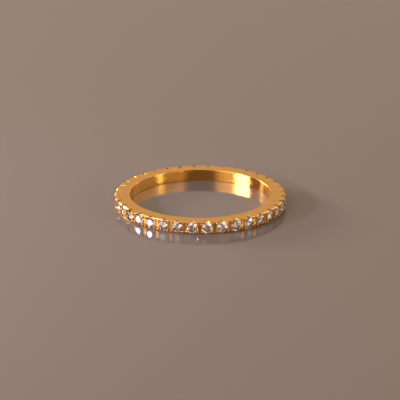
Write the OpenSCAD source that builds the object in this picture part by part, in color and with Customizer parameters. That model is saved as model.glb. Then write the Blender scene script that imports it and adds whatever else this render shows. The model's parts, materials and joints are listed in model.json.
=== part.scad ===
// Full eternity ring: a thin band with one row of round brilliant-cut stones all the way round.
// The ring lies on one side face. Z is the axis of the finger hole, and the origin is on that face.

/* [Band] */
// Inside diameter, where the finger goes
finger_d = 17.3; // [14.9:0.1:19.0]
// Metal between the finger hole and the pointed tips of the stones
floor_t = 0.95; // [0.6:0.01:1.4]
// Chamfer on the two edges of the finger hole
finger_chamfer = 0.06; // [0.02:0.01:0.15]

/* [Stones] */
// Diameter of a stone across its girdle
stone_d = 1.42; // [1.2:0.02:1.8]
// Height of the straight edge of the girdle
girdle_t = 0.05; // [0.02:0.01:0.1]
// Width of the table as a share of the stone's diameter
table_share = 0.57; // [0.5:0.01:0.62]
// Angle of the eight kite facets of the crown
crown_angle = 34; // [30:1:37]
// Angle of the eight main facets of the pavilion
pavilion_angle = 41; // [39:0.5:43]
// Length of the star facets as a share of the way from table to girdle
star_share = 0.5; // [0.4:0.05:0.6]
// Length of the lower girdle facets as a share of the way from girdle to tip
lower_share = 0.78; // [0.7:0.02:0.86]
// Smallest gap between two neighbouring stones
stone_gap = 0.35; // [0.3:0.01:0.6]
// Turn of each stone about its own axis against the one before it
stone_turn = 17; // [0:1:44]

/* [Setting] */
// Clearance between a stone and its seat
seat_clear = 0.02; // [0.01:0.005:0.04]
// Distance of a stone's edge from each side face
stone_inset = 0.01; // [0.01:0.01:0.2]
// Radius of the drilled pocket under a stone's tip
pocket_r = 0.12; // [0.06:0.01:0.2]
// Depth of the drilled pocket below a stone's tip
pocket_depth = 0.1; // [0.04:0.01:0.2]
// Thickness of the thin rim along each side of the channel
rim_t = 0.11; // [0.06:0.01:0.16]
// Height of the rims above the top of the girdle
rim_rise = 0.09; // [0.04:0.01:0.14]
// Depth of the channel floor below the girdle
channel_drop = 0.03; // [0:0.01:0.1]

/* [Beads] */
// Diameter of a bead
bead_d = 0.28; // [0.24:0.01:0.36]
// How far a bead reaches over the edge of its stone
bead_grip = 0.02; // [0:0.005:0.06]
// How far a bead is sunk into the rim beside it
bead_sink = 0.03; // [0.01:0.01:0.08]
// Depth of the bead tops below the tables of the stones
bead_drop = 0.01; // [0:0.01:0.08]

/* [Notches] */
// Height of a notch's tip above the level of the stones' tips
notch_lift = 0.11; // [0.04:0.01:0.3]
// Half of the opening angle of a notch, seen on the side face
notch_half_angle = 24; // [16:1:36]
// Slope of a notch's bottom edge, which rises towards the stone
notch_slope = 45; // [35:1:55]

/* [Hidden] */
$fn = 64;
// How far a cutting shape reaches past the metal
past = 1;

finger_r = finger_d / 2;
stone_r = stone_d / 2;
band_w = stone_d + 2 * stone_inset;

// The stone, measured along its axis from the lower edge of its girdle
table_r = stone_r * table_share;
crown_h = (stone_r - table_r) * tan(crown_angle);
pavilion_h = stone_r * tan(pavilion_angle);
table_h = girdle_t + crown_h;
half_facet = 22.5;
star_r = table_r * cos(half_facet) * (1 - star_share) + stone_r * star_share;
star_h = girdle_t + (stone_r - star_r * cos(half_facet)) * tan(crown_angle);
lower_r = stone_r * (1 - lower_share);
lower_h = -(stone_r - lower_r * cos(half_facet)) * tan(pavilion_angle);
upper_girdle_angle = atan((star_h - girdle_t) / (stone_r - star_r));

// Radii of the ring at the stones' tips, girdles and tables
tip_r = finger_r + floor_t;
girdle_r = tip_r + pavilion_h;
crown_r = girdle_r + table_h;
rim_r = girdle_r + girdle_t + rim_rise;
channel_r = girdle_r - channel_drop;
channel_half_w = band_w / 2 - rim_t;

// The row: as many stones as fit, evenly spaced, with a gap at the front
half_pitch_min = atan(stone_r / girdle_r)
    + asin(stone_gap / 2 / sqrt(pow(stone_r, 2) + pow(girdle_r, 2)));
stone_count = floor(180 / half_pitch_min);
pitch = 360 / stone_count;

bead_r = bead_d / 2;
bead_out = crown_r - bead_drop - bead_r;
bead_reach = stone_r + bead_r - bead_grip;
bead_y = channel_half_w + bead_sink - bead_r;
bead_x = sqrt(pow(bead_reach, 2) - pow(bead_y, 2));
bead_stem = bead_out - channel_r + bead_r;
notch_tip_r = tip_r + notch_lift;

function stone_angle(i) = (i - 0.5) * pitch - 90;
function corner_at(r, i) = r / cos(pitch / 2) * [cos(stone_angle(i)), sin(stone_angle(i))];
function stone_name(i) = str("stone_", i < 10 ? "0" : "", i);

// Puts its children at a stone: x along the row, y along the ring's axis, z out from the finger
module at_stone(i) {
    rotate([0, 0, stone_angle(i)])
        rotate([90, 0, 90]) children();
}

// A disc with one flat for each gap between two stones, and its corners where the stones go
module flats(r, w) {
    linear_extrude(w, center = true)
        polygon([for (i = [1 : stone_count]) corner_at(r, i)]);
}

// The finger hole with its two chamfers
module finger_hole() {
    half_w = band_w / 2;
    rotate_extrude() polygon([
        [0, -half_w - past],
        [finger_r + finger_chamfer + past, -half_w - past],
        [finger_r, finger_chamfer - half_w],
        [finger_r, half_w - finger_chamfer],
        [finger_r + finger_chamfer + past, half_w + past],
        [0, half_w + past],
    ]);
}

// Flat side faces and a channel between two rims
module shank() {
    difference() {
        flats(rim_r, band_w);
        difference() {
            cylinder(r = rim_r + past, h = 2 * channel_half_w, center = true);
            flats(channel_r, band_w);
        }
        finger_hole();
    }
}

// The stone's turned outline with its clearance, and the pocket under its tip
module seat() {
    side = function (angle) seat_clear * (1 - sin(angle)) / cos(angle);
    seat_r = stone_r + seat_clear;
    seat_low = -side(pavilion_angle);
    seat_high = girdle_t + side(upper_girdle_angle);
    mouth_r = seat_r - crown_h / tan(upper_girdle_angle);
    rotate_extrude() polygon([
        [0, -pavilion_h - pocket_depth],
        [pocket_r, -pavilion_h - pocket_depth],
        [pocket_r, seat_low - (seat_r - pocket_r) * tan(pavilion_angle)],
        [seat_r, seat_low],
        [seat_r, seat_high],
        [mouth_r, seat_high + crown_h],
        [mouth_r, seat_high + 2 * crown_h],
        [0, seat_high + 2 * crown_h],
    ]);
}

// One V-shaped cut into a side face, whose bottom edge starts at the tip and rises towards the stone
module notch() {
    depth = rim_r - notch_tip_r + rim_t;
    half_w = depth * tan(notch_half_angle) / cos(notch_slope);
    translate([0, band_w / 2, notch_tip_r - girdle_r])
        rotate([90 - notch_slope, 0, 0])
            translate([0, 0, -depth])
                linear_extrude(2 * depth)
                    polygon([[0, 0], [half_w, depth], [-half_w, depth]]);
}

module notches() {
    for (side = [0, 1]) mirror([0, side, 0]) notch();
}

// A bead with its round top, and its stem down into the metal
module bead() {
    rotate_extrude() intersection() {
        union() {
            circle(bead_r);
            translate([0, -bead_stem]) square([bead_r, bead_stem]);
        }
        translate([0, -bead_stem]) square([bead_r, bead_stem + bead_r]);
    }
}

// The four beads that hold one stone
module beads() {
    for (side = [-1, 1], end = [-1, 1])
        translate([side * bead_x, end * bead_y, bead_out - girdle_r]) bead();
}

module band() {
    color("goldenrod")
        translate([0, 0, band_w / 2])
            difference() {
                union() {
                    shank();
                    for (i = [1 : stone_count]) at_stone(i) translate([0, 0, girdle_r]) beads();
                }
                for (i = [1 : stone_count]) at_stone(i) translate([0, 0, girdle_r]) {
                    seat();
                    notches();
                }
            }
}

// A round brilliant with 8 kite, 8 star and 16 upper girdle facets over 8 main and 16 lower girdle facets
module brilliant() {
    at = function (r, a, h) [r * cos(a), r * sin(a), h];
    table = [for (k = [0 : 7]) at(table_r, 2 * k * half_facet, table_h)];
    stars = [for (k = [0 : 7]) at(star_r, (2 * k + 1) * half_facet, star_h)];
    upper = [for (k = [0 : 15]) at(stone_r, k * half_facet, girdle_t)];
    lower = [for (k = [0 : 15]) at(stone_r, k * half_facet, 0)];
    mains = [for (k = [0 : 7]) at(lower_r, (2 * k + 1) * half_facet, lower_h)];
    T = 0;
    S = 8;
    U = 16;
    L = 32;
    M = 48;
    TIP = 56;
    faces = [
        [for (k = [7 : -1 : 0]) T + k],
        for (k = [0 : 7]) each let (n = (k + 1) % 8, before = (k + 7) % 8) [
            [T + k, T + n, S + k],
            [T + k, S + k, U + 2 * k, S + before],
            [M + k, TIP, M + before, L + 2 * k],
        ],
        for (k = [0 : 7]) each let (mid = 2 * k + 1, next = (2 * k + 2) % 16) [
            [S + k, U + mid, U + 2 * k],
            [S + k, U + next, U + mid],
            [M + k, L + 2 * k, L + mid],
            [M + k, L + mid, L + next],
        ],
        for (k = [0 : 15]) [U + k, U + (k + 1) % 16, L + (k + 1) % 16, L + k],
    ];
    polyhedron(concat(table, stars, upper, lower, mains, [[0, 0, -pavilion_h]]), faces);
}

module stone(i) {
    color("lavenderblush")
        translate([0, 0, band_w / 2])
            at_stone(i) translate([0, 0, girdle_r]) rotate([0, 0, i * stone_turn]) brilliant();
}

band();
for (i = [1 : stone_count])
    stone(i);
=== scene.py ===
"""An eternity ring in yellow gold with a row of round brilliants, lying on its side on a glossy floor.

Lengths are in millimetres, turned into Blender's metres by MM, and angles are in degrees.
"""
import json
import math

import bmesh
import bpy
from mathutils import Matrix, Vector


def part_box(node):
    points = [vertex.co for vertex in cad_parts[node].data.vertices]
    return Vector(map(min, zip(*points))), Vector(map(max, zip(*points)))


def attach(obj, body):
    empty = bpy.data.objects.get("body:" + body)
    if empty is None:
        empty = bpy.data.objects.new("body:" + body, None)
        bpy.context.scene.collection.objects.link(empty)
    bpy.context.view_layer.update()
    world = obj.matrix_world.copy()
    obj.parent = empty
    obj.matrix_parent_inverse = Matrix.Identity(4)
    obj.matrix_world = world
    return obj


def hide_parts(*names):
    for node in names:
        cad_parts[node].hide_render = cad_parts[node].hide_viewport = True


MM = 0.001

# The photograph's frame and where the middle of the ring stands in it, in pixels
FRAME_PX = 400
RING_PX = (200.4, 198.6)

# The camera: a long lens close to the floor
CAMERA_DISTANCE = 278
CAMERA_AZIMUTH = 0.4
CAMERA_ELEVATION = 19.9
CAMERA_LENS = 204
CAMERA_SENSOR = 36
CAMERA_NEAR = 10
CAMERA_FAR = 10000

FLOOR_SIZE = 4000

# The card that stands behind the camera
CARD_WIDTH = 440
CARD_HEIGHT = 240
CARD_ELEVATION = 22
CARD_DISTANCE = 500

# The even light from all round
ROOM_COLOUR = (0.63, 0.47, 0.36, 1)
ROOM_STRENGTH = 0.35

# Each light's azimuth, elevation, distance, width, height, radiance and colour
LIGHTS = {
    "window": (-75.5, 20, 150, 72, 12, 66.0, (0.95, 0.92, 1.3)),
    "curtain": (-50.5, 20, 150, 56, 12, 3.2, (1.0, 0.97, 0.96)),
    "upper_left": (-75, 50, 600, 300, 240, 3.6, (1.0, 0.85, 0.72)),
    "key": (-121, 9.5, 600, 147, 84, 180.0, (1.0, 0.9, 0.78)),
    "glint": (-121, 18, 600, 50, 24, 24.0, (1.0, 0.95, 0.9)),
    "fill": (70, 12.5, 600, 90, 50, 60.0, (1.0, 0.9, 0.7)),
    "back_wall": (180, 20, 640, 1280, 480, 0.37, (1.0, 0.77, 0.59)),
    "right_back": (124, 20, 620, 420, 320, 1.15, (1.0, 0.82, 0.66)),
    "right_wall": (66, 20, 620, 920, 320, 1.15, (1.0, 0.82, 0.66)),
    "left_wall": (-58, 20, 620, 720, 320, 2.0, (1.0, 0.82, 0.66)),
    "front_wall": (0, 20, 640, 820, 420, 0.23, (1.0, 0.72, 0.6)),
}

# A loop of small square lights in front, and how far it reaches from its middle
SPOT_COUNT = 10
SPOT_ELEVATION = 34
SPOT_REACH_ACROSS = 38
SPOT_REACH_UP = 24
SPOT_DISTANCE = 600
SPOT_SIZE = 60
SPOT_RADIANCE = 3.6
SPOT_COLOUR = (1.0, 0.75, 0.66)

# A stone's corners this near to its full radius are on its girdle
GIRDLE_SHARE = 0.999

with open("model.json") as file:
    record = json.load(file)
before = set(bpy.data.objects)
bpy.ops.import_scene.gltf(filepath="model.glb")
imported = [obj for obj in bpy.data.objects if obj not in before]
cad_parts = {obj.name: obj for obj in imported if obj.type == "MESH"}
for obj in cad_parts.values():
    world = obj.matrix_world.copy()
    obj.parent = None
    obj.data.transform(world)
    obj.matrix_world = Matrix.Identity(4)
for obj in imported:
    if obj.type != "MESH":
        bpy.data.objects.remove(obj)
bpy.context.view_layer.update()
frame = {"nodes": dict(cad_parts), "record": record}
band_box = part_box("band")
stones = {name: node for name, node in frame["nodes"].items() if name.startswith("stone")}
mounts = {mount["name"]: mount for mount in frame["record"]["mounts"]}
RING_MIDDLE = (band_box[0] + band_box[1]) / 2 / MM
BAND_W = (band_box[1].z - band_box[0].z) / MM
FINGER_R = mounts["finger_hole"]["dims"]["r_mm"]
PITCH = 360 / len(stones)


def measure(stone):
    """Where a stone stands round the ring, its radius, and the radii of the ring that its corners reach."""
    corners = [vertex.co / MM for vertex in stone.data.vertices]
    middle = sum(corners, Vector()) / len(corners)
    angle = math.degrees(math.atan2(middle.y, middle.x))
    upright = Matrix.Rotation(math.radians(-angle), 3, "Z")
    corners = [upright @ corner - Vector((0, 0, BAND_W / 2)) for corner in corners]
    across = [math.hypot(corner.y, corner.z) for corner in corners]
    girdle = [corner.x for corner, r in zip(corners, across) if r > GIRDLE_SHARE * max(across)]
    out = [corner.x for corner in corners]
    return angle, max(across), min(out), min(girdle), max(girdle), max(out)


FIRST_ANGLE, STONE_R, TIP_R, GIRDLE_LOW_R, GIRDLE_HIGH_R, TABLE_R = measure(stones["stone_01"])

# The setting
EDGE_ROUND = 0.06
RIM_T = 0.11
RIM_RISE = 0.09
RIM_SLOPE = 0.05
RIM_ROUND = 0.012
CHANNEL_DROP = 0.03
SEAT_CLEAR = 0.02
UPPER_GIRDLE_ANGLE = 40
POCKET_R = 0.12
POCKET_DEPTH = 0.1
BEAD_R = 0.14
BEAD_GRIP = 0.02
BEAD_SINK = 0.03
BEAD_DROP = 0.01
NOTCH_LIFT = 0.11
NOTCH_HALF_ANGLE = 24
NOTCH_SLOPE = 45

RIM_R = GIRDLE_HIGH_R + RIM_RISE
CHANNEL_R = GIRDLE_LOW_R - CHANNEL_DROP
CHANNEL_HALF_W = BAND_W / 2 - RIM_T
BEAD_OUT = TABLE_R - BEAD_DROP - BEAD_R
BEAD_Z = CHANNEL_HALF_W + BEAD_SINK - BEAD_R
BEAD_Y = math.sqrt((STONE_R + BEAD_R - BEAD_GRIP) ** 2 - BEAD_Z ** 2)
NOTCH_R = TIP_R + NOTCH_LIFT

# How finely the round shapes are divided
EDGE_STEPS = 3
SECTOR_STEPS = 4
BEAD_STEPS = 6
BEAD_SIDES = 20
SEAT_SIDES = 48

# Corners closer than this are one
WELD = 1e-4
# Faces that meet at less than this are one
FLAT = 0.5
# Edges sharper than this stay crisp
CRISP = 40

# The gold in its places, painted darker between the stones, on the beads and in the notches as painted shade
SATIN_DARK = (0.9, 0.48, 0.1, 1)
SATIN_LIGHT = (1.0, 0.62, 0.17, 1)
WALL_GOLD = (0.95, 0.49, 0.1, 1)
# Darker than the wall between the stones: the gold's colour with painted shade
CHANNEL_GOLD_WITH_PAINTED_SHADE = (0.85, 0.42, 0.08, 1)
# Darker on the beads and seats: the gold's colour with painted shade
BEAD_GOLD_WITH_PAINTED_SHADE = (0.7, 0.32, 0.06, 1)
# Almost black in the notches: painted shade
NOTCH_PAINTED_SHADE = (0.25, 0.1, 0.015, 1)

# The roughness of the polished metal, and what each other place adds to it
POLISHED = 0.13
WALL_ADDS = 0.04
SIDE_ADDS = 0.1
GRAIN_ADDS = 0.2
CHANNEL_ADDS = 0.3
NOTCH_ADDS = 0.34
BEAD_ADDS = 0.26

# The satin grain, whose scale is for a metre, and the wall's fine lines, whose scale is for a millimetre
GRAIN_SCALE = 6000.0
GRAIN_DEPTH = 0.008
GRAIN_CONTRAST = 4.0
LINE_SCALE = 30.0
LINE_DEPTH = 0.0026
NOISE_DETAIL = 2.0

# How far from the edges of a place its finish begins or ends
FACE_MARGIN = 0.01
CHANNEL_MARGIN = 0.03
RIM_MARGIN = 0.003
NOTCH_TIP_MARGIN = 0.02
NOTCH_END_MARGIN = 0.005


class Socket:
    """An output of a node, so that shader maths reads as sums."""

    def __init__(self, finish, output):
        self.finish = finish
        self.output = output

    def math(self, operation, *values):
        return self.finish.node("ShaderNodeMath", {"operation": operation}, dict(enumerate(values)))

    def __abs__(self):
        return self.math("ABSOLUTE", self)

    def __add__(self, other):
        return self.math("ADD", self, other)

    def __radd__(self, other):
        return self.math("ADD", other, self)

    def __sub__(self, other):
        return self.math("SUBTRACT", self, other)

    def __rsub__(self, other):
        return self.math("SUBTRACT", other, self)

    def __mul__(self, other):
        return self.math("MULTIPLY", self, other)

    def __rmul__(self, other):
        return self.math("MULTIPLY", other, self)

    def __truediv__(self, other):
        return self.math("DIVIDE", self, other)

    def __pow__(self, other):
        return self.math("POWER", self, other)

    def __gt__(self, other):
        return self.math("GREATER_THAN", self, other)

    def __lt__(self, other):
        return self.math("LESS_THAN", self, other)


class Finish:
    """A material of nodes that ends in one Principled shader."""

    def __init__(self, name, **constants):
        self.material = bpy.data.materials.new(name)
        self.material.use_nodes = True
        tree = self.material.node_tree
        self.nodes = tree.nodes
        self.links = tree.links
        self.shader = next(n for n in self.nodes if n.type == "BSDF_PRINCIPLED")
        self.set(**constants)

    def set(self, **sockets):
        """Gives the shader's sockets their values or links; base_color stands for Base Color."""
        for name, value in sockets.items():
            self.feed(self.shader.inputs[name.replace("_", " ").title().replace("Ior", "IOR")], value)

    def feed(self, socket, value):
        if isinstance(value, Socket):
            self.links.new(value.output, socket)
        else:
            socket.default_value = value

    def node(self, kind, settings=None, values=None, output=0):
        """Adds a node: its settings first, then the values or links of its sockets."""
        made = self.nodes.new(kind)
        for name, value in (settings or {}).items():
            setattr(made, name, value)
        for name, value in (values or {}).items():
            self.feed(made.inputs[name], value)
        return Socket(self, made.outputs[output])

    def mix(self, share, first, second):
        """A colour between two colours."""
        made = self.nodes.new("ShaderNodeMix")
        made.data_type = "RGBA"
        colours = {s.name: s for s in made.inputs if s.type == "RGBA"}
        self.feed(made.inputs["Factor"], share)
        self.feed(colours["A"], first)
        self.feed(colours["B"], second)
        return Socket(self, next(s for s in made.outputs if s.type == "RGBA"))

    def place(self):
        """The x, y and z of a point on the piece, in millimetres."""
        metres = self.node("ShaderNodeTexCoord", output="Object")
        return [self.node("ShaderNodeSeparateXYZ", {}, {0: metres}, axis) / MM for axis in ("X", "Y", "Z")]


def gold_finish():
    """Satin side faces, polished rims, fine lines round the wall, and a darker gold between the stones as
    painted shade.

    The channel, the seats and the beads are rougher than the rims. The channel and the beads are painted
    darker and the notches almost black, all as painted shade.
    """
    finish = Finish("gold", metallic=1.0)
    x, y, z = finish.place()
    out = (x * x + y * y) ** 0.5
    from_middle = abs(z - BAND_W / 2)
    on_side = (from_middle > BAND_W / 2 - FACE_MARGIN) * (out < RIM_R - RIM_SLOPE)
    on_wall = out < FINGER_R + FACE_MARGIN
    in_channel = (
        (from_middle < CHANNEL_HALF_W)
        * (out > TIP_R - 2 * POCKET_DEPTH)
        * (out < CHANNEL_R + CHANNEL_MARGIN)
    )
    in_notch = (
        (from_middle > CHANNEL_HALF_W + NOTCH_END_MARGIN)
        * (from_middle < BAND_W / 2 - FACE_MARGIN)
        * (out > NOTCH_R - NOTCH_TIP_MARGIN)
        * (out < RIM_R - RIM_SLOPE - RIM_ROUND)
    )
    on_rim = (from_middle > CHANNEL_HALF_W - RIM_MARGIN) * (out < RIM_R + RIM_MARGIN)
    on_bead = (out > CHANNEL_R + CHANNEL_MARGIN) * (1.0 - on_rim)
    grain = finish.node(
        "ShaderNodeTexNoise", {"noise_dimensions": "3D"},
        {
            "Vector": finish.node("ShaderNodeTexCoord", output="Object"),
            "Scale": GRAIN_SCALE,
            "Detail": NOISE_DETAIL,
        },
    )
    lines = finish.node(
        "ShaderNodeTexNoise", {"noise_dimensions": "1D"},
        {"W": z, "Scale": LINE_SCALE, "Detail": NOISE_DETAIL},
    )
    speckle = on_side * (grain - 0.5) * GRAIN_CONTRAST + 0.5
    relief = on_side * grain * GRAIN_DEPTH + on_wall * lines * LINE_DEPTH
    surface_colour = finish.mix(speckle, SATIN_DARK, SATIN_LIGHT)
    surface_colour = finish.mix(on_wall, surface_colour, WALL_GOLD)
    # The channel, the beads and the notches are darkened here: painted shade
    surface_colour = finish.mix(in_channel, surface_colour, CHANNEL_GOLD_WITH_PAINTED_SHADE)
    surface_colour = finish.mix(on_bead, surface_colour, BEAD_GOLD_WITH_PAINTED_SHADE)
    finish.set(
        base_color=finish.mix(in_notch, surface_colour, NOTCH_PAINTED_SHADE),
        roughness=(
            POLISHED
            + on_wall * WALL_ADDS
            + on_side * (SIDE_ADDS + GRAIN_ADDS * grain)
            + in_channel * CHANNEL_ADDS
            + in_notch * NOTCH_ADDS
            + on_bead * BEAD_ADDS
        ),
        normal=finish.node("ShaderNodeBump", {}, {"Height": relief, "Distance": MM, "Strength": 1.0}),
    )
    return finish.material


def stone_finish():
    """Clear, strongly refracting facets."""
    return Finish(
        "stone", base_color=(1.0, 0.87, 0.78, 1), roughness=0.0, ior=2.4, transmission_weight=1.0,
    ).material


def floor_finish():
    """Glossy and warm grey."""
    return Finish("floor", base_color=(0.168, 0.139, 0.12, 1), roughness=0.07, ior=1.5).material


def card_finish():
    """Matt and almost black."""
    return Finish("card", base_color=(0.01, 0.01, 0.01, 1), roughness=1.0).material


def arc(x, z, radius, start, end, steps):
    """Points along an arc, from one angle to another."""
    angles = [math.radians(start + (end - start) * step / steps) for step in range(steps + 1)]
    return [(x + radius * math.cos(a), z + radius * math.sin(a)) for a in angles]


def link(thing):
    bpy.context.scene.collection.objects.link(thing)
    return thing


def as_object(name, shape):
    mesh = bpy.data.meshes.new(name)
    shape.to_mesh(mesh)
    shape.free()
    return link(bpy.data.objects.new(name, mesh))


def everything(shape):
    return shape.verts[:] + shape.edges[:] + shape.faces[:]


def shank():
    """The band from one gap to the next, without beads and cuts: X points outwards, Z along the axis."""
    side = -BAND_W / 2
    half = (
        arc(FINGER_R + EDGE_ROUND, side + EDGE_ROUND, EDGE_ROUND, 180, 270, EDGE_STEPS)
        + [
            (RIM_R - RIM_SLOPE - RIM_ROUND, side),
            (RIM_R - RIM_SLOPE, side + RIM_ROUND),
            (RIM_R, -CHANNEL_HALF_W - RIM_ROUND),
            (RIM_R - RIM_ROUND, -CHANNEL_HALF_W),
            (CHANNEL_R, -CHANNEL_HALF_W),
        ]
    )
    section = half + [(x, -z) for x, z in reversed(half)]
    shape = bmesh.new()
    shape.faces.new([shape.verts.new((x, 0, z)) for x, z in section])
    turn = Matrix.Rotation(math.radians(-PITCH / 2), 3, "Z")
    bmesh.ops.rotate(shape, verts=shape.verts, cent=(0, 0, 0), matrix=turn)
    bmesh.ops.spin(
        shape, geom=everything(shape), cent=(0, 0, 0), axis=(0, 0, 1),
        angle=math.radians(PITCH), steps=SECTOR_STEPS,
    )
    bmesh.ops.recalc_face_normals(shape, faces=shape.faces)
    return as_object("shank", shape)


def turned(outline, steps):
    """A solid turned round the stone's axis, from its distances along that axis and its radii."""
    shape = bmesh.new()
    corners = [shape.verts.new((x, r, 0)) for x, r in outline]
    edges = [shape.edges.new(pair) for pair in zip(corners, corners[1:])]
    bmesh.ops.spin(
        shape, geom=corners + edges, cent=(0, 0, 0), axis=(1, 0, 0), angle=math.radians(360),
        steps=steps, use_merge=True,
    )
    bmesh.ops.remove_doubles(shape, verts=shape.verts, dist=WELD)
    bmesh.ops.recalc_face_normals(shape, faces=shape.faces)
    return shape


def beads():
    """The four beads that hold one stone, each a dome on a stem down into the channel's floor."""
    foot = CHANNEL_R - BEAD_SINK
    dome = arc(BEAD_OUT, 0, BEAD_R, 0, 90, BEAD_STEPS)
    shape = turned(dome + [(foot, BEAD_R), (foot, 0)], BEAD_SIDES)
    bmesh.ops.translate(shape, verts=shape.verts, vec=(0, BEAD_Y, BEAD_Z))
    for axis in ("Y", "Z"):
        bmesh.ops.mirror(shape, geom=everything(shape), matrix=Matrix(), merge_dist=WELD, axis=axis)
    bmesh.ops.recalc_face_normals(shape, faces=shape.faces)
    return as_object("beads", shape)


def seat():
    """The stone's turned outline with its clearance, and the pocket drilled under its tip."""
    pavilion = math.atan2(GIRDLE_LOW_R - TIP_R, STONE_R)
    crown = math.radians(UPPER_GIRDLE_ANGLE)
    crown_h = TABLE_R - GIRDLE_HIGH_R
    seat_r = STONE_R + SEAT_CLEAR
    low = GIRDLE_LOW_R - SEAT_CLEAR * (1 - math.sin(pavilion)) / math.cos(pavilion)
    high = GIRDLE_HIGH_R + SEAT_CLEAR * (1 - math.sin(crown)) / math.cos(crown)
    mouth_r = seat_r - crown_h / math.tan(crown)
    outline = [
        (TIP_R - POCKET_DEPTH, 0),
        (TIP_R - POCKET_DEPTH, POCKET_R),
        (low - (seat_r - POCKET_R) * math.tan(pavilion), POCKET_R),
        (low, seat_r),
        (high, seat_r),
        (high + crown_h, mouth_r),
        (high + 2 * crown_h, mouth_r),
        (high + 2 * crown_h, 0),
    ]
    return as_object("seat", turned(outline, SEAT_SIDES))


def notch(side):
    """A V-shaped cut into one side face, whose bottom edge starts at the tip and rises towards the stone."""
    depth = RIM_R - NOTCH_R + RIM_T
    slope = math.radians(NOTCH_SLOPE)
    half_w = depth * math.tan(math.radians(NOTCH_HALF_ANGLE)) / math.cos(slope)
    shape = bmesh.new()
    corners = [(0, 0, -depth), (depth, half_w, -depth), (depth, -half_w, -depth)]
    face = shape.faces.new([shape.verts.new(corner) for corner in corners])
    pulled = bmesh.ops.extrude_face_region(shape, geom=[face])["geom"]
    top = [part for part in pulled if isinstance(part, bmesh.types.BMVert)]
    bmesh.ops.translate(shape, verts=top, vec=(0, 0, 2 * depth))
    bmesh.ops.rotate(shape, verts=shape.verts, cent=(0, 0, 0), matrix=Matrix.Rotation(-slope, 3, "Y"))
    bmesh.ops.translate(shape, verts=shape.verts, vec=(NOTCH_R, 0, BAND_W / 2))
    bmesh.ops.scale(shape, verts=shape.verts, vec=(1, 1, side))
    bmesh.ops.recalc_face_normals(shape, faces=shape.faces)
    return as_object("notch", shape)


def combine(base, tool, operation):
    """Adds a shape to the base or cuts it away."""
    change = base.modifiers.new(operation, "BOOLEAN")
    change.operation = operation
    change.object = tool
    change.solver = "EXACT"
    seen = bpy.context.evaluated_depsgraph_get()
    mesh = bpy.data.meshes.new_from_object(base.evaluated_get(seen))
    base.modifiers.clear()
    base.data = mesh
    bpy.data.objects.remove(tool)


def band():
    """The whole band: the metal round one stone, repeated all the way round."""
    base = shank()
    combine(base, beads(), "UNION")
    combine(base, seat(), "DIFFERENCE")
    for side in (1, -1):
        combine(base, notch(side), "DIFFERENCE")
    shape = bmesh.new()
    shape.from_mesh(base.data)
    bpy.data.objects.remove(base)
    bmesh.ops.remove_doubles(shape, verts=shape.verts, dist=WELD)
    half = math.radians(PITCH / 2)
    joined = [
        face for face in shape.faces
        if all(abs(abs(math.atan2(v.co.y, v.co.x)) - half) * v.co.x < WELD for v in face.verts)
    ]
    bmesh.ops.delete(shape, geom=joined, context="FACES_ONLY")
    bmesh.ops.dissolve_limit(
        shape, angle_limit=math.radians(FLAT), use_dissolve_boundaries=False, verts=shape.verts,
        edges=shape.edges, delimit=set(),
    )
    bmesh.ops.spin(
        shape, geom=everything(shape), cent=(0, 0, 0), axis=(0, 0, 1), use_duplicate=True,
        angle=math.radians(360 - PITCH), steps=len(stones) - 1,
    )
    bmesh.ops.remove_doubles(shape, verts=shape.verts, dist=WELD)
    turn = Matrix.Rotation(math.radians(FIRST_ANGLE), 3, "Z")
    bmesh.ops.rotate(shape, verts=shape.verts, cent=(0, 0, 0), matrix=turn)
    bmesh.ops.translate(shape, verts=shape.verts, vec=(0, 0, BAND_W / 2))
    bmesh.ops.scale(shape, verts=shape.verts, vec=(MM, MM, MM))
    made = as_object("gold_band", shape)
    made.data.shade_smooth()
    made.data.set_sharp_from_angle(angle=math.radians(CRISP))
    weighted = made.modifiers.new("even_shading", "WEIGHTED_NORMAL")
    weighted.keep_sharp = True
    return made


def direction(azimuth, elevation):
    """A unit vector towards a place round the ring: azimuth 0 is the front, 90 the right."""
    a = math.radians(azimuth)
    e = math.radians(elevation)
    return Vector((math.sin(a) * math.cos(e), -math.cos(a) * math.cos(e), math.sin(e)))


def place_towards_ring(thing, azimuth, elevation, distance):
    away = direction(azimuth, elevation)
    thing.location = (RING_MIDDLE + away * distance) * MM
    thing.rotation_mode = "QUATERNION"
    thing.rotation_quaternion = (-away).to_track_quat("-Z", "Y")


def camera():
    made = link(bpy.data.objects.new("camera", bpy.data.cameras.new("camera")))
    place_towards_ring(made, CAMERA_AZIMUTH, CAMERA_ELEVATION, CAMERA_DISTANCE)
    lens = made.data
    lens.lens = CAMERA_LENS
    lens.sensor_width = CAMERA_SENSOR
    lens.shift_x = (FRAME_PX / 2 - RING_PX[0]) / FRAME_PX
    lens.shift_y = (RING_PX[1] - FRAME_PX / 2) / FRAME_PX
    lens.clip_start = CAMERA_NEAR * MM
    lens.clip_end = CAMERA_FAR * MM
    bpy.context.scene.camera = made


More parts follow.
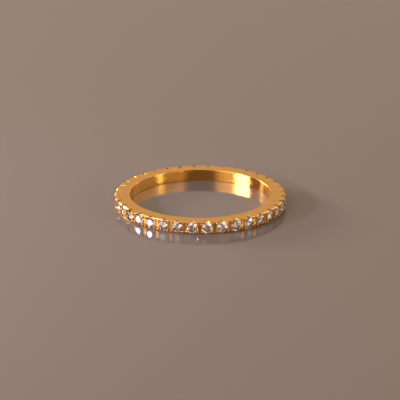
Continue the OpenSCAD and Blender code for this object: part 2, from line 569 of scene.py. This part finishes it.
def softbox(name, azimuth, elevation, distance, width, height, radiance, colour):
    """A rectangular light turned towards the ring, which looks equally bright at any size."""
    lamp = bpy.data.lights.new(name, "AREA")
    lamp.shape = "RECTANGLE"
    lamp.size = width * MM
    lamp.size_y = height * MM
    lamp.energy = radiance * math.pi * lamp.size * lamp.size_y
    lamp.color = colour
    place_towards_ring(link(bpy.data.objects.new(name, lamp)), azimuth, elevation, distance)


def studio():
    """The room's even light, the lights round the ring and the loop of small ones."""
    world = bpy.data.worlds.new("studio")
    world.use_nodes = True
    background = world.node_tree.nodes["Background"]
    background.inputs["Color"].default_value = ROOM_COLOUR
    background.inputs["Strength"].default_value = ROOM_STRENGTH
    bpy.context.scene.world = world
    bpy.context.scene.view_settings.view_transform = "Standard"
    for name, light in LIGHTS.items():
        softbox(name, *light)
    for spot in range(SPOT_COUNT):
        turn = math.radians(360 / SPOT_COUNT * (spot + 0.5))
        azimuth = SPOT_REACH_ACROSS * math.cos(turn)
        elevation = SPOT_ELEVATION + SPOT_REACH_UP * math.sin(turn)
        softbox(
            f"spot_{spot}", azimuth, elevation, SPOT_DISTANCE, SPOT_SIZE, SPOT_SIZE,
            SPOT_RADIANCE, SPOT_COLOUR,
        )


def floor():
    bpy.ops.mesh.primitive_plane_add(size=FLOOR_SIZE * MM)
    made = bpy.context.object
    made.name = "floor"
    made.data.materials.append(floor_finish())


def dark_card():
    """What stands behind the camera and shows as a dark patch in the polished wall."""
    bpy.ops.mesh.primitive_plane_add(size=1)
    made = bpy.context.object
    made.name = "dark_card"
    made.scale = (CARD_WIDTH * MM, CARD_HEIGHT * MM, 1)
    place_towards_ring(made, 0, CARD_ELEVATION, CARD_DISTANCE)
    made.data.materials.append(card_finish())
    made.visible_camera = False


camera()
studio()
floor()
dark_card()

gold = gold_finish()
stone = stone_finish()
for node in stones.values():
    node.data.materials.clear()
    node.data.materials.append(stone)

gold_band = band()
gold_band.data.materials.append(gold)
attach(gold_band, "root")
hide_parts("band")
